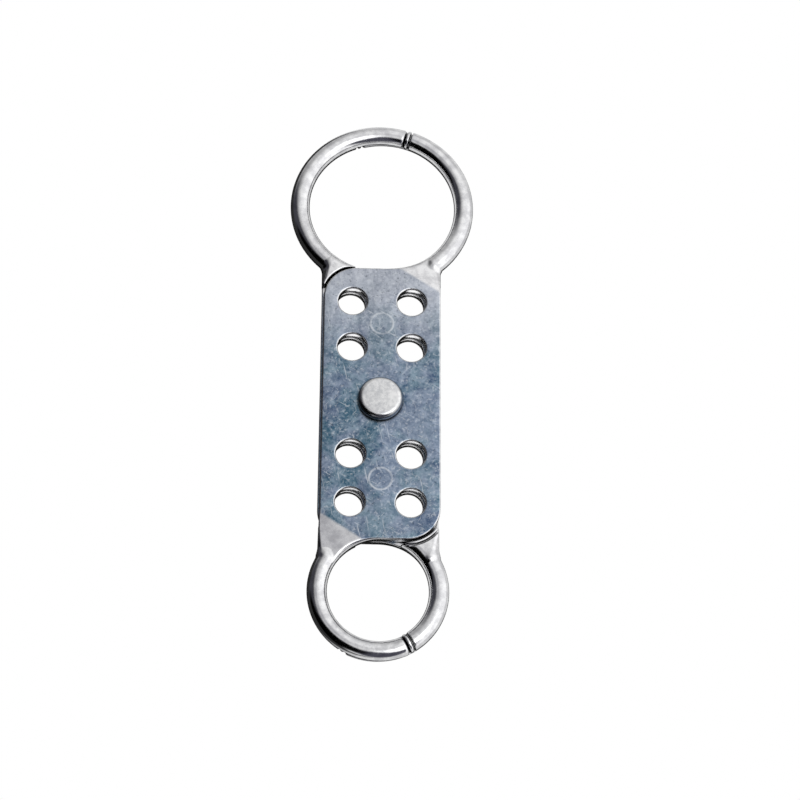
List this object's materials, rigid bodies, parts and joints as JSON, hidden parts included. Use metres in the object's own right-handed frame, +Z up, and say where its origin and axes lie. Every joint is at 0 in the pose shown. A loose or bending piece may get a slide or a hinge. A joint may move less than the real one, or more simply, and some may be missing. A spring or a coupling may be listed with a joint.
{
  "type": "lockout hasp",
  "caption": "Scissor-action lockout hasp with a large and a small ring jaw, rows of padlock holes and a centre rivet; both jaws open together.",
  "frame": {"origin": "on the rivet's axis, at the flat end of the rivet's tail, which is the lowest point", "axes": "+Z up out of the front half's face along the rivet, +Y along the hasp towards the large jaw, +X across it"},
  "size_m": [0.048, 0.1472, 0.0098],
  "materials": {
    "front_aluminium": "tumbled casting, polished hook",
    "back_aluminium": "tumbled casting, polished hook",
    "rivet_aluminium": "satin"
  },
  "bodies": {
    "back": {"back_half": "back_aluminium", "pivot_rivet": "rivet_aluminium"},
    "front": {"front_half": "front_aluminium"}
  },
  "joints": [
    {"name": "scissor_hinge", "type": "hinge", "parent": "back", "child": "front", "pos_m": [0, 0, 0.0047], "axis": [0, 0, -1], "range_deg": [0, 120]}
  ]
}
